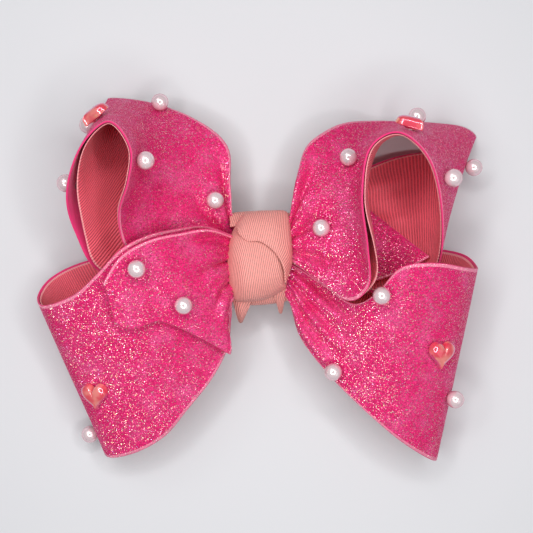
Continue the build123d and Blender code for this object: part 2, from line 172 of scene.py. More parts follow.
RUNS = {
    "upper_right": {
        "node": "upper_right_loop",
        "stations": root(RIGHT, 4, -0.5, 14.5)
        + [
            ((27, -11, 35), (17, 36, 25)),
            ((39, -19, 46), (21, 50, 21)),
            ((47, -12, 55), (30, 58, 18)),
            ((46, 4, 61), (40, 63, 13)),
            ((43, 24, 66), (53, 65, 5)),
            ((46, 45, 67), (67, 65, 3)),
            ((59, 52, 65), (84, 64, 2)),
            ((73, 40, 58), (98, 62, 1)),
            ((80, 16, 46), (103, 57, 0)),
            ((80, -6, 30), (88, 52, 2)),
            ((68, -18, 19), (62, 47, 5)),
            ((44, -14, 17), (38, 35, 11)),
        ]
        + root(RIGHT, 1, -6, 12)[::-1],
        "sag": (0.30, 0.06, 2.5),
    },
    "upper_left": {
        "node": "upper_left_loop",
        "stations": root(LEFT, 2, -1, 14.5)
        + [
            ((-34, -6, 26), (-14, 32, 22)),
            ((-51, -5, 35), (-14, 47, 21)),
            ((-59, 5, 45), (-19, 56, 19)),
            ((-60, 18, 56), (-30, 64, 16)),
            ((-55, 31, 65), (-43, 70, 11)),
            ((-54, 45, 68), (-55, 74, 6)),
            ((-63, 56, 67), (-66, 76, 3)),
            ((-76, 46, 60), (-73, 76, 1)),
            ((-84, 27, 49), (-62, 72, 1)),
            ((-82, 10, 36), (-47, 60, 3)),
            ((-72, -7, 25), (-32, 45, 7)),
            ((-42, -10, 18), (-20, 28, 12)),
        ]
        + root(LEFT, 1, -6, 12)[::-1],
        "sag": (0.70, 0.07, 5.0),
    },
    "lower_right": {
        "node": "lower_right_loop",
        "stations": root(RIGHT, 3, -2, -18)
        + [
            ((30, -13, 28), (18, -36, 26)),
            ((42, -21, 38), (30, -52, 30)),
            ((51, -16, 47), (45, -67, 33)),
            ((61, -5, 52), (60, -80, 33)),
            ((76, -3, 51), (71, -88, 29)),
            ((91, -5, 42), (79, -93, 22)),
            ((99, -5, 26), (82, -94, 13)),
            ((96, 1, 11), (76, -89, 5)),
            ((82, 4, 5), (62, -76, 1)),
            ((60, 4, 5), (40, -56, 3)),
            ((36, 2, 12), (23, -33, 9)),
        ]
        + root(RIGHT, 0, -2, -16)[::-1],
    },
    "lower_left": {
        "node": "lower_left_loop",
        "stations": root(LEFT, 3, 10, -18)
        + [
            ((-25, 14, 31), (-14, -28, 25)),
            ((-38, 12, 39), (-15, -41, 27)),
            ((-49, 9, 46), (-22, -55, 28)),
            ((-60, 3, 50), (-33, -69, 28)),
            ((-71, -8, 47), (-43, -81, 26)),
            ((-82, -17, 41), (-56, -89, 23)),
            ((-97, -22, 31), (-69, -93, 17)),
            ((-103, -18, 18), (-73, -91, 9)),
            ((-99, -10, 9), (-66, -82, 3)),
            ((-86, -3, 5), (-50, -69, 1)),
            ((-62, 3, 6), (-34, -52, 3)),
            ((-34, 5, 9), (-20, -28, 7)),
        ]
        + root(LEFT, 0, 5, -14)[::-1],
    },
    "left_tail": {
        "node": "left_tail",
        "stations": root(LEFT, 4, 9, -18)
        + [
            ((-24, 12, 37), (-14, -29, 32)),
            ((-36, 10, 44), (-13, -38, 32)),
            ((-48, 7, 50), (-14, -44, 33)),
            ((-60, 0, 53), (-24, -52, 34)),
            ((-68, -12, 52), (-36, -60, 35)),
            ((-73, -24, 48), (-47, -68, 34)),
        ],
        "gather": 1.3,
        "cut": [(-76, -2), (-67, -13), (-63, -28), (-55, -31), (-44, -28), (-29, -34), (-10, -45)],
    },
    "right_tail": {
        "node": "right_tail",
        "stations": root(RIGHT, 2, 10, -12)
        + [
            ((17, 20, 19), (30, -15, 22)),
            ((24, 31, 18), (48, -12, 24)),
            ((38, 41, 17), (66, -6, 26)),
            ((54, 50, 17), (82, 3, 27)),
        ],
        "gather": 2.0,
        "cut": [(80, -2), (71, 5), (55, 18), (40, 30), (24, 42), (14, 52)],
    },
}

TRIMS = {
    "upper_left": {
        "pearls": [(0.42, 0.16), (0.16, 0.72), (0.42, 0.92), (0.62, 0.58), (0.67, 0.12)],
        "heart": (0.57, 0.30),
    },
    "left_tail": {"pearls": [(0.70, 0.15), (0.68, 0.50)]},
    "lower_left": {"pearls": [(0.60, 0.88)], "heart": (0.50, 0.60)},
    "upper_right": {
        "pearls": [(0.33, 0.66), (0.19, 0.46), (0.63, 0.13), (0.67, 0.68), (0.52, 0.62)],
        "heart": (0.535, 0.24),
    },
    "lower_right": {"pearls": [(0.31, 0.06), (0.23, 0.87), (0.52, 0.66)], "heart": (0.46, 0.46)},
}


class Run:
    """One run of ribbon: its edges through the stations, and its facing side."""

    def __init__(self, name):
        data = RUNS[name]
        self.name = name
        self.node = data["node"]
        self.loop = "cut" not in data
        self.near = np.array([pair[0] for pair in data["stations"]], float)
        self.far = np.array([pair[1] for pair in data["stations"]], float)
        self.spans = len(self.near) - 1
        self.cut = None if self.loop else self.cut_line(data["cut"])
        self.sag = data.get("sag")
        self.gather = data.get("gather", 0.8)
        probe = self.grid(np.linspace(0, 1, 40), np.linspace(0, 1, 5))
        self.side = 1 if grid_normals(probe)[5, 2, 2] > 0 else -1

    @staticmethod
    def cut_line(points):
        """The slanted end of a tail, as close points along it."""
        points = np.array([(x, y, 0) for x, y in points], float)
        return catmull(points, np.linspace(0, len(points) - 1, 200))[:, :2]

    def grid(self, u, v):
        """Points in millimetres: rows along the ribbon, columns across it."""
        if u.ndim == 1:
            u = np.repeat(u[:, None], len(v), axis=1)
        near = catmull(self.near, u * self.spans)
        far = catmull(self.far, u * self.spans)
        return near + (far - near) * v[None, :, None]

    def ends(self, v):
        """Where the ribbon ends for each place across it: 1, or where it meets the slanted cut."""
        if self.loop:
            return np.ones(len(v))
        u = np.linspace(0.3, 1, 700)
        points = self.grid(u, v)[..., :2]
        start, step = self.cut[:-1], np.diff(self.cut, axis=0)
        ends = np.ones(len(v))
        inside = self.side_of_cut(self.grid(np.array([0.3]), v)[0, :, :2], start, step)
        for column in range(len(v)):
            sides = self.side_of_cut(points[:, column], start, step)
            beyond = np.nonzero(sides != inside[column])[0]
            if len(beyond):
                ends[column] = u[beyond[0]]
        return ends

    @staticmethod
    def side_of_cut(points, start, step):
        """Which side of the cut line each point lies on."""
        nearest = np.argmin(np.linalg.norm(points[:, None] - start[None], axis=2), axis=1)
        away = points - start[nearest]
        return np.sign(step[nearest][:, 0] * away[:, 1] - step[nearest][:, 1] * away[:, 0])

    def from_knot(self, u):
        """Stations between a place and the side of the knot."""
        ahead = u * self.spans - 1
        return np.minimum(ahead, (1 - u) * self.spans - 1) if self.loop else ahead

    @functools.cached_property
    def fit(self):
        """Scale and shift that bring the drawn run, in millimetres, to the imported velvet's box, in metres."""
        v = np.linspace(0, 1, 21)
        u = np.linspace(0, 1, 121)[:, None] * self.ends(v)[None, :]
        points = self.grid(u, v)
        facing = grid_normals(points) * 0.4
        skins = np.concatenate([points + facing, points - facing]).reshape(-1, 3)
        low, high = (np.array(corner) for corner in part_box(self.node))
        drawn_low, drawn_high = skins.min(axis=0), skins.max(axis=0)
        scale = (high - low) / (drawn_high - drawn_low)
        return scale, low - drawn_low * scale

    def place(self, u, v):
        """One point on the ribbon, in metres, and the way the velvet faces there."""
        scale, shift = self.fit
        step = 0.002
        us = np.array([u - step, u, u + step])
        vs = np.array([v - step, v, v + step])
        points = self.grid(us, vs) * scale + shift
        facing = np.cross(points[2, 1] - points[0, 1], points[1, 2] - points[1, 0])
        return points[1, 1], unit(facing) * self.side

    def creases(self, u, v, depth):
        """Gathers that run out from the knot and fade, in metres along the facing direction."""
        chance = np.random.default_rng(sum(map(ord, self.name)))
        ahead = self.from_knot(u)
        rise = np.clip(ahead * 0.7 + 0.35, 0, 1)
        fade = np.exp(-((np.maximum(ahead - 0.7, 0) / 1.3) ** 2))
        first, second = chance.uniform(0, math.pi, 2)

        def pleats(count, start):
            return np.sqrt(np.sin(math.pi * count * v + start) ** 2 + 0.01) * 2 - 1.2

        folds = pleats(3.5, first) + 0.3 * pleats(6.5, second)
        calm = np.zeros_like(u)
        for along, across in ((2.3, 0.4), (3.7, -0.8), (6.1, 1.3)):
            turn = chance.uniform(0, 2 * math.pi)
            calm += np.sin(2 * math.pi * (along * u + across * v) + turn) / along
        open_share = np.clip(ahead, 0, 1)
        gathers = 0.0009 * self.gather * np.clip(self.gather * 0.8 - ahead, 0, 1)
        gathers = gathers * np.sin(2 * math.pi * 9 * v + first)
        return depth * rise * fade * folds + gathers + 0.0004 * open_share * calm

    def surface(self, sizes, inset=0.0, gap=None):
        """Points, facing directions and cloth coordinates of one layer, in metres."""
        rows = ROWS_PER_SPAN * self.spans
        columns = RIBBON_COLUMNS
        share = inset / sizes.ribbon_width
        across = np.linspace(share, 1 - share, columns)
        ends = self.ends(across)
        u = np.linspace(0, 1, rows)[:, None] * ends[None, :]
        v = np.repeat(across[None, :], rows, axis=0)
        scale, shift = self.fit
        points = self.grid(u, across) * scale + shift
        facing = grid_normals(points) * self.side
        points = points + facing * self.creases(u, v, sizes.pleat_depth)[..., None]
        facing = grid_normals(points) * self.side
        if gap is not None:
            open_share = np.clip(self.from_knot(u) / 1.5, 0, 1)
            from_edge = np.minimum(v, 1 - v) * sizes.ribbon_width
            away = np.clip(from_edge / CLOSED_EDGE, 0, 1)
            air = LEAST_AIR + (gap - LEAST_AIR) * open_share * away**2 * (3 - 2 * away)
            if self.sag:
                place, reach, drop = self.sag
                air = air + drop * MM * np.exp(-(((u - place) / reach) ** 2))
            depth = (sizes.velvet_thickness + sizes.lining_thickness) / 2 + air
            turn = np.linalg.norm(np.gradient(facing, axis=0), axis=2)
            step = np.linalg.norm(np.gradient(points, axis=0), axis=2)
            bend = step / np.maximum(turn, 1e-6)
            tightest = bend.copy()
            for rows_off in range(1, BEND_ROWS + 1):
                tightest[rows_off:] = np.minimum(tightest[rows_off:], bend[:-rows_off])
                tightest[:-rows_off] = np.minimum(tightest[:-rows_off], bend[rows_off:])
            depth = np.minimum(depth, np.maximum(0.5 * tightest, LEAST_DEPTH))
            points = points - facing * depth[..., None]
            facing = grid_normals(points) * self.side
        middle = columns // 2
        steps = np.linalg.norm(np.diff(points[:, middle], axis=0), axis=1)
        along = np.concatenate([[0], np.cumsum(steps)])
        cloth = np.stack([u * along[-1] / max(ends[middle], 1e-6), v * sizes.ribbon_width], axis=-1)
        return points, facing, cloth


@functools.cache
def run_of(name):
    """The run of that name, made once."""
    return Run(name)


# --- meshes
def new_object(name, data):
    """An object in the scene that shows the given data."""
    obj = bpy.data.objects.new(name, data)
    bpy.context.scene.collection.objects.link(obj)
    return obj


def finished_piece(made, name, finish):
    """A smooth piece with its faces outward, in one finish."""
    bmesh.ops.recalc_face_normals(made, faces=made.faces)
    mesh = bpy.data.meshes.new(name)
    made.to_mesh(mesh)
    made.free()
    mesh.shade_smooth()
    mesh.materials.append(finish)
    return new_object(name, mesh)


def cloth_piece(name, points, facing, cloth, thickness, finishes):
    """A thin closed piece of cloth with a face, a back and a rounded rim."""
    rows, columns = points.shape[:2]
    half = facing * thickness / 2
    count = rows * columns
    around = [(0, c) for c in range(columns)]
    around += [(r, columns - 1) for r in range(1, rows)]
    around += [(rows - 1, c) for c in range(columns - 2, -1, -1)]
    around += [(r, 0) for r in range(rows - 2, 0, -1)]
    rim = []
    for r, c in around:
        inner = points[min(max(r, 1), rows - 2), min(max(c, 1), columns - 2)]
        rim.append(points[r, c] + unit(points[r, c] - inner) * thickness * 0.4)
    vertices = np.concatenate([(points + half).reshape(-1, 3), (points - half).reshape(-1, 3), rim])
    rim_places = np.array([cloth[r, c] for r, c in around])
    places = np.concatenate([cloth.reshape(-1, 2), cloth.reshape(-1, 2), rim_places])
    faces = []
    for r in range(rows - 1):
        for c in range(columns - 1):
            corner = r * columns + c
            quad = (corner, corner + 1, corner + columns + 1, corner + columns)
            faces += [quad, tuple(index + count for index in reversed(quad))]
    face_count = len(faces)
    for k, (r, c) in enumerate(around):
        nxt = (k + 1) % len(around)
        here = r * columns + c
        there = around[nxt][0] * columns + around[nxt][1]
        faces.append((here, 2 * count + k, 2 * count + nxt, there))
        faces.append((2 * count + k, here + count, there + count, 2 * count + nxt))
    mesh = bpy.data.meshes.new(name)
    mesh.from_pydata(vertices.tolist(), [], faces)
    layer = mesh.uv_layers.new(name="cloth")
    corners = np.zeros(len(mesh.loops), dtype=np.int32)
    mesh.loops.foreach_get("vertex_index", corners)
    layer.data.foreach_set("uv", places[corners].astype(np.float32).ravel())
    backs = np.zeros(len(faces), dtype=np.int32)
    backs[1:face_count:2] = 1
    backs[face_count:] = 1
    obj = new_object(name, mesh)
    for finish in finishes:
        mesh.materials.append(finish)
    if len(finishes) > 1:
        mesh.polygons.foreach_set("material_index", backs)
    made = bmesh.new()
    made.from_mesh(mesh)
    bmesh.ops.recalc_face_normals(made, faces=made.faces)
    made.to_mesh(mesh)
    made.free()
    mesh.shade_smooth()
    return obj


def turned_piece(name, profile, segments, finish):
    """A piece turned round its own Z from a profile of (radius, height)."""
    made = bmesh.new()
    rings = []
    for radius, height in profile:
        if radius < 1e-9:
            rings.append([made.verts.new((0, 0, height))])
            continue
        ring = []
        for k in range(segments):
            turn = 2 * math.pi * k / segments
            ring.append(made.verts.new((radius * math.cos(turn), radius * math.sin(turn), height)))
        rings.append(ring)
    for lower, upper in zip(rings, rings[1:]):
        for k in range(segments):
            nxt = (k + 1) % segments
            if len(lower) == 1:
                made.faces.new((lower[0], upper[nxt], upper[k]))
            elif len(upper) == 1:
                made.faces.new((lower[k], lower[nxt], upper[0]))
            else:
                made.faces.new((lower[k], lower[nxt], upper[nxt], upper[k]))
    return finished_piece(made, name, finish)


def stand_on(obj, origin, facing):
    """Turns a piece's own Z to a facing direction, with its Y as near up as that allows, and sets it there."""
    facing = Vector(facing).normalized()
    side = Vector((0, 1, 0)).cross(facing).normalized()
    up = facing.cross(side)
    for vertex in obj.data.vertices:
        x, y, z = vertex.co
        vertex.co = Vector(origin) + side * x + up * y + facing * z
    obj.data.update()


def centre_on_box(obj, node):
    """Moves a piece so that the middle of its box is the middle of that node's box."""
    low, high = (Vector(corner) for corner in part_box(node))
    spots = np.array([vertex.co[:] for vertex in obj.data.vertices])
    shift = (low + high) / 2 - Vector((spots.min(axis=0) + spots.max(axis=0)) / 2)
    for vertex in obj.data.vertices:
        vertex.co += shift
    obj.data.update()


def heart_outline(width, height, count=96):
    """Points round a soft heart of that width and height, point down."""
    spots = []
    for k in range(count):
        turn = 2 * math.pi * k / count
        x = 16 * math.sin(turn) ** 3
        y = 13 * math.cos(turn) - 5 * math.cos(2 * turn) - 2 * math.cos(3 * turn) - math.cos(4 * turn)
        spots.append((x, y))
    spots = np.array(spots)
    low, high = spots.min(axis=0), spots.max(axis=0)
    return (spots - (low + high) / 2) / (high - low) * np.array([width, height])


def domed_heart(name, outline, thickness, finish):
    """A heart with a flat back, a soft edge and a domed face."""
    made = bmesh.new()
    levels = [(0.34, -0.2), (0.40, -0.2), (0.50, -0.02), (0.93, 0.0)]
    levels += [(0.985, 0.03), (1.0, 0.12), (0.99, 0.24), (0.95, 0.38)]
    levels += [(math.cos(a) ** 0.62 * 0.96, 0.36 + 0.64 * math.sin(a)) for a in np.linspace(0.3, 1.5, 12)]
    rings = []
    for share, lift in levels:
        rings.append([made.verts.new((x * share, y * share, lift * thickness)) for x, y in outline])
    count = len(outline)
    for lower, upper in zip(rings, rings[1:]):
        for k in range(count):
            nxt = (k + 1) % count
            made.faces.new((lower[k], lower[nxt], upper[nxt], upper[k]))
    made.faces.new(list(reversed(rings[0])))
    top = made.verts.new((0, 0, thickness))
    for k in range(count):
        made.faces.new((rings[-1][k], rings[-1][(k + 1) % count], top))
    obj = finished_piece(made, name, finish)
    soften = obj.modifiers.new("soften", "SUBSURF")
    soften.levels = 1
    soften.render_levels = 1
    return obj


def thread_turn(name, middle, half_y, half_z, radius):
    """One closed turn of two-ply thread round a flat bundle."""
    corner = 1.6 * MM
    path = []
    for sy, sz, start in ((1, 1, 0), (-1, 1, 90), (-1, -1, 180), (1, -1, 270)):
        for k in range(7):
            angle = math.radians(start + 15 * k)
            y = sy * (half_y - corner) + corner * math.cos(angle)
            z = sz * (half_z - corner) + corner * math.sin(angle)
            path.append((y, z))
    path = np.array(path)
    closed = np.vstack([path, path[:1]])
    steps = np.concatenate([[0], np.cumsum(np.linalg.norm(np.diff(closed, axis=0), axis=1))])
    count = 420
    spots = np.linspace(0, steps[-1], count, endpoint=False)
    ys, zs = (np.interp(spots, steps, closed[:, axis]) for axis in (0, 1))
    centre = np.stack([np.zeros(count), ys, zs], axis=1) + np.array(middle)
    ahead = unit(np.roll(centre, -1, axis=0) - np.roll(centre, 1, axis=0))
    side = np.tile(np.array([1.0, 0, 0]), (count, 1))
    out = np.cross(side, ahead)
    twists = round(steps[-1] / (2.4 * MM))
    around = 14
    vertices = []
    for k in range(count):
        for j in range(around):
            angle = 2 * math.pi * j / around
            ply = 1 - 0.16 * (1 - abs(math.cos(angle - math.pi * twists * k / count)))
            reach = radius * ply
            vertices.append(centre[k] + reach * (math.cos(angle) * side[k] + math.sin(angle) * out[k]))
    faces = []
    for k in range(count):
        nxt = (k + 1) % count
        for j in range(around):
            other = (j + 1) % around
            faces.append((k * around + j, k * around + other, nxt * around + other, nxt * around + j))
    mesh = bpy.data.meshes.new(name)
    mesh.from_pydata([tuple(v) for v in vertices], [], faces)
    mesh.shade_smooth()
    return new_object(name, mesh)


# --- finishes
def add(tree, kind, inputs=(), **options):
    """A node of a finish, with values or other nodes' outputs on its inputs."""
    node = tree.nodes.new("ShaderNode" + kind)
    for name, value in options.items():
        setattr(node, name, value)
    pairs = inputs.items() if isinstance(inputs, dict) else enumerate(inputs)
    for key, value in pairs:
        if isinstance(value, bpy.types.NodeSocket):
            tree.links.new(value, node.inputs[key])
        else:
            node.inputs[key].default_value = value
    return node


def maths(tree, operation, *values):
    """The result of one sum."""
    return add(tree, "Math", values, operation=operation).outputs[0]


def times(tree, first, second):
    return maths(tree, "MULTIPLY", first, second)


def feed(tree, shader, **outputs):
    """Links nodes' outputs to the shader's sockets."""
    for key, output in outputs.items():
        tree.links.new(output, shader.inputs[key.replace("_", " ")])


def mixed(tree, factor, first, second, way="MIX"):
    """The mix of two colours."""
    node = tree.nodes.new("ShaderNodeMix")
    node.data_type = "RGBA"
    node.blend_type = way
    for index, value in ((0, factor), (6, first), (7, second)):
        if isinstance(value, bpy.types.NodeSocket):
            tree.links.new(value, node.inputs[index])
        elif index:
            node.inputs[index].default_value = (*value[:3], 1)
        else:
            node.inputs[index].default_value = value
    return node.outputs[2]


def stepped(tree, value, low, high):
    """0 below low, 1 above high, smooth between."""
    node = add(tree, "MapRange", {0: value, 1: low, 2: high, 3: 0.0, 4: 1.0})
    node.interpolation_type = "SMOOTHSTEP"
    return node.outputs[0]


def ramp(tree, value, stops):
    """A colour from a ramp of (place, colour) stops."""
    node = add(tree, "ValToRGB", {0: value})
    while len(node.color_ramp.elements) < len(stops):
        node.color_ramp.elements.new(0.5)
    for element, (place, shade) in zip(node.color_ramp.elements, stops):
        element.position = place
        element.color = (*shade, 1)
    return node.outputs[0]


def new_finish(name, **sockets):
    """A finish with its shader's constant sockets set."""
    material = bpy.data.materials.new(name)
    material.use_nodes = True
    shader = material.node_tree.nodes["Principled BSDF"]
    for key, value in sockets.items():
        socket = shader.inputs[key.replace("_", " ")]
        socket.default_value = (*value, 1) if socket.type == "RGBA" else value
    return material, material.node_tree, shader


def relief(tree, shader, height, distance, strength=1.0, normal=None):
    """Bump on the shader from a height, or on top of another normal."""
    inputs = {"Height": height, "Distance": distance, "Strength": strength}
    if normal is not None:
        inputs["Normal"] = normal
    feed(tree, shader, Normal=add(tree, "Bump", inputs).outputs[0])


def cloth_axes(tree):
    """Metres along and across a ribbon."""
    node = add(tree, "UVMap", uv_map="cloth")
    parts = add(tree, "SeparateXYZ", {0: node.outputs[0]})
    return parts.outputs[0], parts.outputs[1]


def rest_place(tree):
    return add(tree, "TexCoord").outputs["Object"]


def noise(tree, place, scale, detail=2.0):
    return add(tree, "TexNoise", {"Vector": place, "Scale": scale, "Detail": detail}).outputs[0]


def edge_mask(tree, across, width, low, high):
    """1 at the two woven edges, 0 past them."""
    other = maths(tree, "SUBTRACT", width, across)
    nearest = maths(tree, "MINIMUM", across, other)
    return maths(tree, "SUBTRACT", 1.0, stepped(tree, nearest, low, high))


def glitter_velvet(sizes, colours):
    """Velvet with fine glitter in its pile, a paler woven edge, and painted shade where the pile's relief is
    low.
    """
    material, tree, shader = new_finish(
        "glitter_velvet",
        Sheen_Weight=0.24,
        Sheen_Roughness=0.3,
        Sheen_Tint=(1.0, 0.35, 0.6),
        Specular_IOR_Level=0.2,
    )
    place = rest_place(tree)
    along, across = cloth_axes(tree)
    cloud = noise(tree, place, 90.0, 3.0)
    pile = noise(tree, place, 1500.0, 2.0)
    base = mixed(tree, stepped(tree, cloud, 0.4, 0.75), colours.velvet, colours.velvet_pale)
    # Painted shade: where the pile's relief is low, the colour is darkened toward a deep red.
    base = mixed(tree, stepped(tree, pile, 0.35, 0.65), mixed(tree, 0.45, base, (0.25, 0.0, 0.03)), base)
    cells = add(tree, "TexVoronoi", {"Vector": place, "Scale": 1 / sizes.glitter_size, "Randomness": 1.0})
    chance = add(tree, "SeparateColor", {0: cells.outputs["Color"]})
    inside = maths(tree, "LESS_THAN", cells.outputs["Distance"], 0.5)
    flake = times(tree, inside, maths(tree, "GREATER_THAN", chance.outputs[0], 0.55))
    grain = mixed(tree, chance.outputs[2], (0.72, 0.55, 0.68), (1.0, 1.0, 1.0))
    base = mixed(tree, 1.0, base, grain, "MULTIPLY")
    fleck = times(tree, inside, maths(tree, "GREATER_THAN", chance.outputs[0], 0.84))
    selvage = edge_mask(tree, across, sizes.ribbon_width, 0.0010, 0.0013)
    plain = maths(tree, "SUBTRACT", 1.0, selvage)
    flake_shade = ramp(
        tree,
        chance.outputs[1],
        [
            (0.0, (1.0, 0.10, 0.36)),
            (0.40, (1.0, 0.32, 0.55)),
            (0.56, (1.0, 0.90, 0.84)),
            (0.84, (1.0, 0.80, 0.36)),
            (1.0, (0.70, 0.42, 1.0)),
        ],
    )
    base = mixed(tree, selvage, base, colours.selvage)
    flake_shade = mixed(tree, times(tree, selvage, 0.7), flake_shade, (1.0, 0.80, 0.84))
    share = maths(tree, "ADD", times(tree, fleck, 0.7), times(tree, flake, 0.3))
    base = mixed(tree, share, base, flake_shade)
    rough = maths(tree, "SUBTRACT", 0.78, times(tree, flake, 0.5))
    feed(tree, shader, Base_Color=base, Metallic=times(tree, flake, 0.8), Roughness=rough)
    tilt = add(tree, "VectorMath", {0: cells.outputs["Color"], 1: (0.5, 0.5, 0.5)}, operation="SUBTRACT")
    lean = add(tree, "VectorMath", {0: tilt.outputs[0]}, operation="SCALE")
    tree.links.new(times(tree, flake, 1.25), lean.inputs[3])
    straight = add(tree, "NewGeometry").outputs["Normal"]
    leaned = add(tree, "VectorMath", {0: straight, 1: lean.outputs[0]}, operation="ADD")
    normal = add(tree, "VectorMath", {0: leaned.outputs[0]}, operation="NORMALIZE").outputs[0]
    ribs = maths(tree, "SINE", times(tree, along, 2 * math.pi / 0.0007))
    height = maths(tree, "ADD", times(tree, pile, plain), times(tree, ribs, selvage))
    relief(tree, shader, height, 0.00012, 0.8, normal)
    return material


def velvet_back(colours):
    """The plain woven back of the velvet, with painted shade in the low spots of the weave."""
    material, tree, shader = new_finish("velvet_back", Roughness=0.8, Sheen_Weight=0.2)
    along, across = cloth_axes(tree)
    warp = maths(tree, "SINE", times(tree, along, 2 * math.pi / 0.0005))
    weft = maths(tree, "SINE", times(tree, across, 2 * math.pi / 0.0005))
    weave = times(tree, warp, weft)
    # Painted shade: the weave's low spots are darkened, following its relief.
    painted_weave_shade = tuple(0.75 * part for part in colours.velvet)
    feed(tree, shader, Base_Color=mixed(tree, stepped(tree, weave, -0.8, 0.8), painted_weave_shade, colours.velvet))
    relief(tree, shader, weave, 0.00008, 0.6)
    return material


def grosgrain(name, sizes, shade, edge_shade, edge, lean=0.0):
    """Ribbed ribbon: cords across it, painted shade in the cords' valleys and painted highlight on their
    crests, a paler edge, and a soft shine.
    """
    material, tree, shader = new_finish(
        name, Roughness=0.5, Sheen_Weight=0.12, Sheen_Roughness=0.4, Sheen_Tint=(1.0, 0.7, 0.68)
    )
    place = rest_place(tree)
    along, across = cloth_axes(tree)
    along = maths(tree, "ADD", along, times(tree, across, lean))
    wobble = noise(tree, place, 260.0)
    phase = times(tree, along, 2 * math.pi / sizes.rib_pitch)
    phase = maths(tree, "ADD", phase, times(tree, wobble, 1.2))
    cord = maths(tree, "SINE", phase)
    thread = maths(tree, "SINE", times(tree, across, 2 * math.pi / 0.0004))
    rows = noise(tree, place, 1300.0)
    # Painted shade in the rib valleys and painted highlight on the rib crests, following the cord relief; the
    # paler colour also tints random rows.
    dark = tuple(0.62 * part for part in shade)
    pale = tuple(min(1.0, 1.12 * part + 0.02) for part in shade)
    base = mixed(tree, stepped(tree, cord, -0.9, 0.9), dark, pale)
    base = mixed(tree, times(tree, stepped(tree, rows, 0.3, 0.7), 0.35), base, pale)
    if edge:
        mask = edge_mask(tree, across, sizes.ribbon_width, edge * 0.8, edge)
        base = mixed(tree, mask, base, edge_shade)
    feed(tree, shader, Base_Color=base)
    height = maths(tree, "ADD", cord, times(tree, thread, 0.15))
    relief(tree, shader, height, 0.00016, 0.8)
    return material


def pearl_finish(colours):
    """Lustrous pearl: a clear coat over a soft body, with painted shade at the rim: a darker pink mixed in by
    the facing angle.
    """
    material, tree, shader = new_finish(
        "pearl",
        Roughness=0.2,
        Metallic=0.3,
        Coat_Weight=1.0,
        Coat_Roughness=0.04,
        Coat_IOR=1.8,
        Specular_IOR_Level=0.7,
        Thin_Film_Thickness=380,
    )
    place = rest_place(tree)
    rim = add(tree, "LayerWeight", {0: 0.35}).outputs["Facing"]
    body = mixed(tree, noise(tree, place, 350.0), colours.pearl, (0.86, 0.72, 0.72))
    # Painted rim shade: a darker pink mixed into the colour by the facing angle.
    body = mixed(tree, stepped(tree, rim, 0.15, 0.85), body, (0.62, 0.26, 0.36))
    feed(tree, shader, Base_Color=body)
    relief(tree, shader, noise(tree, place, 900.0), 0.00002, 0.4)
    return material


def heart_finish(colours):
    """Clear coral resin with painted iridescent reflection: violet mixed in at the rim by the facing angle, and
    yellow in patches.
    """
    material, tree, shader = new_finish(
        "heart_resin",
        Roughness=0.2,
        Metallic=0.2,
        Coat_Weight=1.0,
        Coat_Roughness=0.03,
        Coat_IOR=1.9,
        Thin_Film_Thickness=520,
    )
    place = rest_place(tree)
    rim = add(tree, "LayerWeight", {0: 0.5}).outputs["Facing"]
    cloud = noise(tree, place, 160.0, 2.0)
    body = mixed(tree, stepped(tree, cloud, 0.40, 0.62), colours.heart, (0.90, 0.25, 0.22))
    # Painted reflection: violet iridescence mixed into the colour at the rim by the facing angle.
    body = mixed(tree, times(tree, stepped(tree, rim, 0.25, 0.8), 0.6), body, (0.62, 0.10, 0.42))
    # Painted reflection: yellow iridescent shimmer painted in patches.
    painted_gold_shimmer = stepped(tree, noise(tree, place, 240.0, 1.0), 0.58, 0.72)
    body = mixed(tree, times(tree, painted_gold_shimmer, 0.4), body, (0.95, 0.62, 0.30))
    feed(tree, shader, Base_Color=body)
    relief(tree, shader, noise(tree, place, 300.0), 0.00005, 0.3)
    return material


def brushed_steel():
    """Nickel-plated steel with fine brush lines along the clip."""
    material, tree, shader = new_finish("clip_steel", Metallic=1.0)
    place = rest_place(tree)
    stretched = add(tree, "Mapping", {"Vector": place, "Scale": (60.0, 2600.0, 2600.0)}).outputs[0]
    lines = noise(tree, stretched, 1.0, 3.0)
    wear = noise(tree, place, 120.0, 3.0)
    shade = mixed(tree, stepped(tree, wear, 0.35, 0.7), (0.62, 0.62, 0.64), (0.76, 0.75, 0.74))
    shade = mixed(tree, lines, shade, (0.82, 0.82, 0.84))
    feed(tree, shader, Base_Color=shade, Roughness=maths(tree, "ADD", 0.2, times(tree, lines, 0.2)))
    relief(tree, shader, lines, 0.00003, 0.5)
    return material


def twisted_thread(colours):
    """Waxed sewing thread."""
    material, tree, shader = new_finish("thread", Roughness=0.6, Sheen_Weight=0.4)
    place = rest_place(tree)
    fibres = noise(tree, place, 3500.0)
    dark = tuple(0.6 * part for part in colours.knot)
    feed(tree, shader, Base_Color=mixed(tree, fibres, dark, colours.knot))
    relief(tree, shader, fibres, 0.00004, 0.5)
    return material


def floor_finish(colours):
    """Plain pale floor with a trace of unevenness."""
    material, tree, shader = new_finish("plain_floor", Roughness=0.7)
    cloud = noise(tree, rest_place(tree), 3.0)
    pale = tuple(1.06 * part for part in colours.floor)
    feed(tree, shader, Base_Color=mixed(tree, cloud, colours.floor, pale))
    return material


# --- the knot's folds
def both_sides(columns):
    """Columns of a fold that is the same on its left and right, from those of its left half."""
    return columns + [[(-x, y, z) for x, y, z in column] for column in reversed(columns)]


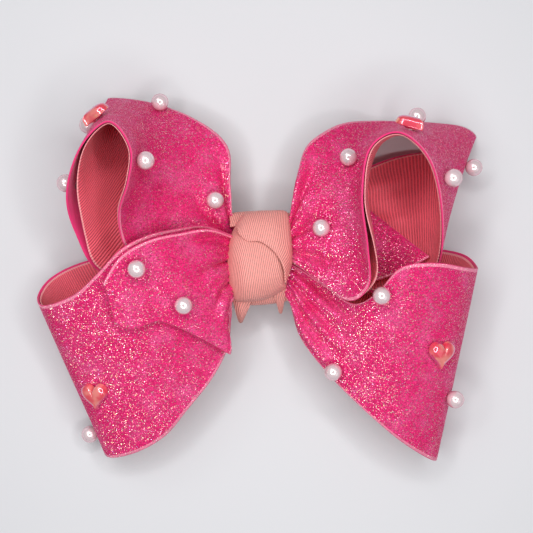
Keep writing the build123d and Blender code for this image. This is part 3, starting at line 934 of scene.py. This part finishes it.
KNOT_FOLDS = {
    "knot_upper_lap": [
        [(-10.5, 15.5, 25), (-10.6, 14, 30), (-10.3, 13, 33), (-9.8, 12, 34.5), (-9.5, 10.5, 35)],
        [(-6.5, 20, 24), (-6.8, 18.5, 30), (-6.5, 15, 34), (-6, 11, 36), (-5.6, 7.2, 36.5)],
        [(-1, 21, 23.5), (-1, 20, 30), (-0.5, 16, 35), (0, 11, 37), (0.5, 6.8, 37.5)],
        [(5.5, 21.2, 23), (5.8, 20.3, 30), (6.5, 15, 35), (7, 8, 37), (6.8, 2, 37.5)],
        [(11, 21, 22), (11.5, 20, 28), (12.5, 12, 32), (12.8, 2, 34), (10.5, -4.5, 36.5)],
        [(12, 20, 20), (13.2, 18, 25), (14.2, 8, 27.5), (14.3, -3, 29), (11.5, -12, 33)],
    ],
    "knot_lower_lap": [
        [
            (-11.2, 14.5, 22), (-12.7, 10, 26), (-14.2, 3, 28), (-14.5, -5, 27.5),
            (-13.8, -12, 27), (-12, -18.5, 25), (-11.5, -20, 22),
        ],
        [
            (-10.0, 14.8, 25), (-10.9, 9.5, 31), (-11.8, 3, 33), (-12, -5, 32.5),
            (-11.5, -12, 31.5), (-10, -19, 28), (-9.5, -20.5, 23),
        ],
        [
            (-6, 14, 32), (-6.8, 8.5, 35.0), (-7.5, 0, 36.7), (-7.5, -7, 36.5),
            (-7, -13, 35), (-6, -18.8, 30.5), (-6, -20.3, 24),
        ],
        [
            (-2, 13.5, 32.8), (-2.8, 7, 35.9), (-2.5, 0, 37.2), (-2, -7, 37.8),
            (-1.5, -13, 36), (-0.8, -18.3, 31), (-0.8, -19.8, 24),
        ],
        [
            (3, 12, 33), (2.6, 5.5, 35.8), (3, -1, 36.6), (3.5, -7, 36.9),
            (4, -12, 35.3), (4.3, -16.8, 31), (4.5, -18.3, 24.5),
        ],
        [
            (8.5, 8, 32.4), (8, 2, 34.8), (8.6, -4, 35.0), (9, -8, 34.6),
            (9.3, -11, 32.8), (9, -14, 30.5), (9, -16, 25),
        ],
        [
            (11.2, 3, 29), (11.2, -1, 30.8), (11.6, -5, 31), (11.9, -8, 30.4),
            (12, -11, 28.5), (11.5, -13.5, 27), (11, -15, 23),
        ],
    ],
    "knot_left_flap": [
        [(-12.5, -14, 24), (-12.4, -19, 23), (-11.2, -25, 20), (-10.0, -29.8, 16)],
        [(-8.5, -15, 25), (-8.5, -20.5, 24), (-8.6, -26, 20.5), (-9.2, -30.4, 15.5)],
        [(-4, -15, 25), (-4.2, -20.5, 23.5), (-6.2, -25.5, 20), (-8.2, -30, 15.5)],
    ],
    "knot_right_flap": [
        [(5, -12, 25), (6.0, -17, 24), (7.8, -21.5, 20.5), (9.0, -25.8, 16)],
        [(8.5, -12, 25), (8.8, -17, 24), (9.3, -21.5, 20.5), (9.6, -26.1, 16)],
        [(12, -11, 24), (11.6, -16, 23), (11.0, -21, 20), (10.2, -25.7, 16)],
    ],
    "knot_back_band": [
        [(-13.5, -14, 22), (-13.8, -19.5, 20), (-13.5, -20.5, 15), (-13, -20.5, 9)],
        [(-5, -15, 24), (-5, -21, 21), (-5, -22, 15), (-5, -21.5, 9)],
        [(5, -15, 24), (5, -20.5, 21), (5, -21.5, 15), (5, -21, 9)],
        [(13.5, -14, 22), (13.8, -19, 20), (13.5, -20, 15), (13, -20, 9)],
    ],
    "knot_top_band": both_sides(
        [
            [
                (-13.5, 14, 24), (-13.8, 19.5, 20), (-13.5, 20.5, 14), (-13.3, 20, 8),
                (-13.3, 14, 6.6), (-13.3, 0, 6.6), (-13.3, -14, 6.6), (-13, -20, 8.5),
            ],
            [
                (-5, 15, 26), (-5, 20, 22), (-5, 21.3, 14), (-5, 20.3, 8),
                (-5, 14, 6.4), (-5, 0, 6.4), (-5, -14, 6.4), (-5, -20.3, 8.5),
            ],
        ]
    ),
}
FOLD_POINTS = 36


def fold_surface(columns):
    """A smooth surface through the fold's columns of points, with its cloth coordinates, in metres."""
    net = np.array(columns, float) * MM
    down = np.linspace(0, net.shape[1] - 1, FOLD_POINTS)
    side = np.linspace(0, net.shape[0] - 1, FOLD_POINTS)
    lines = np.stack([catmull(column, down) for column in net])
    points = np.stack([catmull(lines[:, r], side) for r in range(FOLD_POINTS)], axis=1)
    facing = grid_normals(points)
    outward = ((points - np.array(KNOT_MIDDLE)) * facing).sum() > 0
    facing = facing if outward else -facing
    steps_a = np.linalg.norm(np.diff(points, axis=0), axis=2).mean(axis=1)
    steps_b = np.linalg.norm(np.diff(points, axis=1), axis=2).mean(axis=0)
    along = np.concatenate([[0], np.cumsum(steps_a)])
    down_cloth = np.concatenate([[0], np.cumsum(steps_b)])
    cloth = np.stack(np.meshgrid(along, down_cloth, indexing="ij"), axis=-1)
    return points, facing, cloth


# --- operators
def settings(context):
    return context.scene.hair_bow_sizes, context.scene.hair_bow_colours


def report_missing(nodes):
    """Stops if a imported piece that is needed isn't there."""
    for node in nodes:
        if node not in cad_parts:
            raise RuntimeError(f"the packed model has no piece named {node}")


def declare_ribbon(obj, node):
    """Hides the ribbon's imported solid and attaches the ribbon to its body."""
    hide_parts(node)
    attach(obj, BODY)


class HAIRBOW_OT_velvet(bpy.types.Operator):
    """Build the glitter velvet of the four loops and two tails."""

    bl_idname = "hairbow.velvet"
    bl_label = "Velvet ribbons"

    def execute(self, context):
        sizes, colours = settings(context)
        report_missing(data["node"] for data in RUNS.values())
        finishes = [glitter_velvet(sizes, colours), velvet_back(colours)]
        for name in RUNS:
            run = run_of(name)
            points, facing, cloth = run.surface(sizes)
            obj = cloth_piece(f"{name}_velvet_ribbon", points, facing, cloth, sizes.velvet_thickness, finishes)
            declare_ribbon(obj, run.node)
        return {"FINISHED"}


class HAIRBOW_OT_linings(bpy.types.Operator):
    """Build the grosgrain linings inside the ribbons."""

    bl_idname = "hairbow.linings"
    bl_label = "Grosgrain linings"

    def execute(self, context):
        sizes, colours = settings(context)
        finish = grosgrain("lining_grosgrain", sizes, colours.lining, colours.lining_edge, 0.0016)
        for name in RUNS:
            run = run_of(name)
            points, facing, cloth = run.surface(sizes, LINING_INSET, sizes.lining_gap)
            obj = cloth_piece(f"{name}_lining_ribbon", points, facing, cloth, sizes.lining_thickness, [finish])
            declare_ribbon(obj, f"{run.node}_lining")
        return {"FINISHED"}


class HAIRBOW_OT_knot(bpy.types.Operator):
    """Build the folded grosgrain knot round the waist of the bow."""

    bl_idname = "hairbow.knot"
    bl_label = "Knotted centre"

    def execute(self, context):
        sizes, colours = settings(context)
        report_missing(["centre_knot"])
        finish = grosgrain("knot_grosgrain", sizes, colours.knot, colours.knot, 0.0, 0.25)
        for name, columns in KNOT_FOLDS.items():
            points, facing, cloth = fold_surface(columns)
            obj = cloth_piece(name, points, facing, cloth, KNOT_THICKNESS, [finish])
            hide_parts("centre_knot")
            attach(obj, BODY)
        return {"FINISHED"}


class HAIRBOW_OT_pearls(bpy.types.Operator):
    """Set the pearls on the ribbons."""

    bl_idname = "hairbow.pearls"
    bl_label = "Pearls"

    def execute(self, context):
        finish = pearl_finish(settings(context)[1])
        for name, trims in TRIMS.items():
            for number, (u, v) in enumerate(trims["pearls"], start=1):
                node = f"{name}_pearl_{number}"
                report_missing([node])
                low, high = (np.array(corner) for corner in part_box(node))
                radius = float((high - low).max() / 2)
                profile = []
                for step in range(41):
                    angle = math.pi * (step / 40 - 0.5)
                    seam = 0.004 * math.exp(-((angle / 0.03) ** 2))
                    flat = max(math.sin(angle), -0.985)
                    profile.append((radius * math.cos(angle) * (1 + seam), radius * flat))
                profile[0] = (0, profile[0][1])
                profile[-1] = (0, profile[-1][1])
                obj = turned_piece(f"{node}_ball", profile, 64, finish)
                facing = run_of(name).place(u, v)[1]
                stand_on(obj, (low + high) / 2, facing)
                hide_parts(node)
                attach(obj, BODY)
        return {"FINISHED"}


class HAIRBOW_OT_hearts(bpy.types.Operator):
    """Set the domed hearts on the ribbons."""

    bl_idname = "hairbow.hearts"
    bl_label = "Domed hearts"

    def execute(self, context):
        finish = heart_finish(settings(context)[1])
        outline = heart_outline(HEART_WIDTH, HEART_HEIGHT)
        for name, trims in TRIMS.items():
            if "heart" not in trims:
                continue
            node = f"{name}_heart"
            report_missing([node])
            origin, facing = run_of(name).place(*trims["heart"])
            obj = domed_heart(f"{node}_gem", outline, HEART_THICKNESS, finish)
            stand_on(obj, origin, facing)
            centre_on_box(obj, node)
            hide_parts(node)
            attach(obj, BODY)
        return {"FINISHED"}


class HAIRBOW_OT_thread(bpy.types.Operator):
    """Wind the twisted gather thread round the waist."""

    bl_idname = "hairbow.thread"
    bl_label = "Gather thread"

    def execute(self, context):
        report_missing(["gather_thread"])
        finish = twisted_thread(settings(context)[1])
        low, high = (np.array(corner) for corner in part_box("gather_thread"))
        middle = (low + high) / 2
        pitch = ((high - low)[0] - 2 * THREAD_RADIUS) / (THREAD_TURNS - 1)
        half_y = (high - low)[1] / 2 - THREAD_RADIUS
        half_z = (high - low)[2] / 2 - THREAD_RADIUS
        for turn in range(THREAD_TURNS):
            place = (middle[0] + (turn - 1) * pitch, middle[1], middle[2])
            obj = thread_turn(f"gather_thread_turn_{turn + 1}", place, half_y, half_z, THREAD_RADIUS)
            obj.data.materials.append(finish)
            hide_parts("gather_thread")
            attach(obj, BODY)
        return {"FINISHED"}


class HAIRBOW_OT_metal(bpy.types.Operator):
    """Give the clip, its springs and the rivets their plated steel."""

    bl_idname = "hairbow.metal"
    bl_label = "Clip and rivets"

    def execute(self, context):
        finish = brushed_steel()
        nodes = [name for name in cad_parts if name.startswith("clip_") or name.endswith("_rivets")]
        if not nodes:
            raise RuntimeError("the packed model has no metal pieces")
        for name in nodes:
            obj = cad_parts[name]
            obj.data.materials.clear()
            obj.data.materials.append(finish)
        return {"FINISHED"}


class HAIRBOW_OT_stage(bpy.types.Operator):
    """Set the plain floor, the lights and the world round the bow."""

    bl_idname = "hairbow.stage"
    bl_label = "Stage and lights"

    def execute(self, context):
        colours = settings(context)[1]
        scene = context.scene
        made = bmesh.new()
        bmesh.ops.create_grid(made, x_segments=24, y_segments=24, size=1.5)
        mesh = bpy.data.meshes.new("floor")
        made.to_mesh(mesh)
        made.free()
        mesh.materials.append(floor_finish(colours))
        floor = new_object("floor", mesh)
        floor.location.z = -FLOOR_DROP
        floor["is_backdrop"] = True
        world = bpy.data.worlds.new("studio")
        world.use_nodes = True
        background = world.node_tree.nodes["Background"]
        background.inputs[0].default_value = (0.95, 0.97, 1.0, 1)
        background.inputs[1].default_value = 0.24
        scene.world = world
        scene.view_settings.view_transform = "Standard"
        ring_light(centre=(0.003, -0.004, 0.50), radius=0.24, count=20, watts=0.15)
        soft_light("soft_key", location=(-0.35, 0.45, 0.75), size=0.5, watts=1.3)
        soft_light("soft_fill", location=(0.55, -0.35, 0.55), size=0.5, watts=0.4)
        return {"FINISHED"}


def aim(light, target):
    light.rotation_euler = (Vector(target) - light.location).to_track_quat("-Z", "Y").to_euler()


def ring_light(centre, radius, count, watts):
    """A ring of small round lamps that look down at the bow."""
    for k in range(count):
        turn = 2 * math.pi * k / count
        lamp = bpy.data.lights.new(f"ring_lamp_{k + 1}", "AREA")
        lamp.shape = "DISK"
        lamp.size = 1.9 * radius * math.sin(math.pi / count)
        lamp.energy = watts
        light = new_object(lamp.name, lamp)
        x, y, z = centre
        light.location = (x + radius * math.cos(turn), y + radius * math.sin(turn), z)
        aim(light, (x, y, 0))


def soft_light(name, location, size, watts):
    """A large square lamp."""
    lamp = bpy.data.lights.new(name, "AREA")
    lamp.size = size
    lamp.energy = watts
    light = new_object(name, lamp)
    light.location = location
    aim(light, (0, 0, 0.03))


class HAIRBOW_PT_panel(bpy.types.Panel):
    """Lists the bow's pieces in the sidebar."""

    bl_label = "Hair bow"
    bl_idname = "HAIRBOW_PT_panel"
    bl_space_type = "VIEW_3D"
    bl_region_type = "UI"
    bl_category = "Hair Bow"

    def draw(self, context):
        sizes, colours = settings(context)
        for group in (sizes, colours):
            box = self.layout.box()
            for name in group.__annotations__:
                box.prop(group, name)
        for operator in BUILD_ORDER:
            self.layout.operator(operator.bl_idname)


BUILD_ORDER = (
    HAIRBOW_OT_velvet,
    HAIRBOW_OT_linings,
    HAIRBOW_OT_knot,
    HAIRBOW_OT_pearls,
    HAIRBOW_OT_hearts,
    HAIRBOW_OT_thread,
    HAIRBOW_OT_metal,
    HAIRBOW_OT_stage,
)
CLASSES = (BowSizes, BowColours) + BUILD_ORDER + (HAIRBOW_PT_panel,)


def register():
    for cls in CLASSES:
        bpy.utils.register_class(cls)
    bpy.types.Scene.hair_bow_sizes = bpy.props.PointerProperty(type=BowSizes)
    bpy.types.Scene.hair_bow_colours = bpy.props.PointerProperty(type=BowColours)


def unregister():
    del bpy.types.Scene.hair_bow_colours
    del bpy.types.Scene.hair_bow_sizes
    for cls in reversed(CLASSES):
        bpy.utils.unregister_class(cls)


def set_camera(scene):
    """The camera looks straight down on the bow, which lies on its back."""
    data = bpy.data.cameras.new("camera")
    data.sensor_width = 36
    data.lens = 70.2
    scene.camera = new_object("camera", data)
    scene.camera.location = (0.003, -0.0043, 0.5)


def plain(corners):
    return [[float(value) for value in corner] for corner in corners]


def main():
    """Builds every piece in order and works out the two boxes."""
    register()
    set_camera(bpy.context.scene)
    for operator in BUILD_ORDER:
        group, name = operator.bl_idname.split(".")
        getattr(getattr(bpy.ops, group), name)()
    {"cad": plain(cad_bounds), "visual": plain(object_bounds())}


if __name__ == "__main__":
    main()
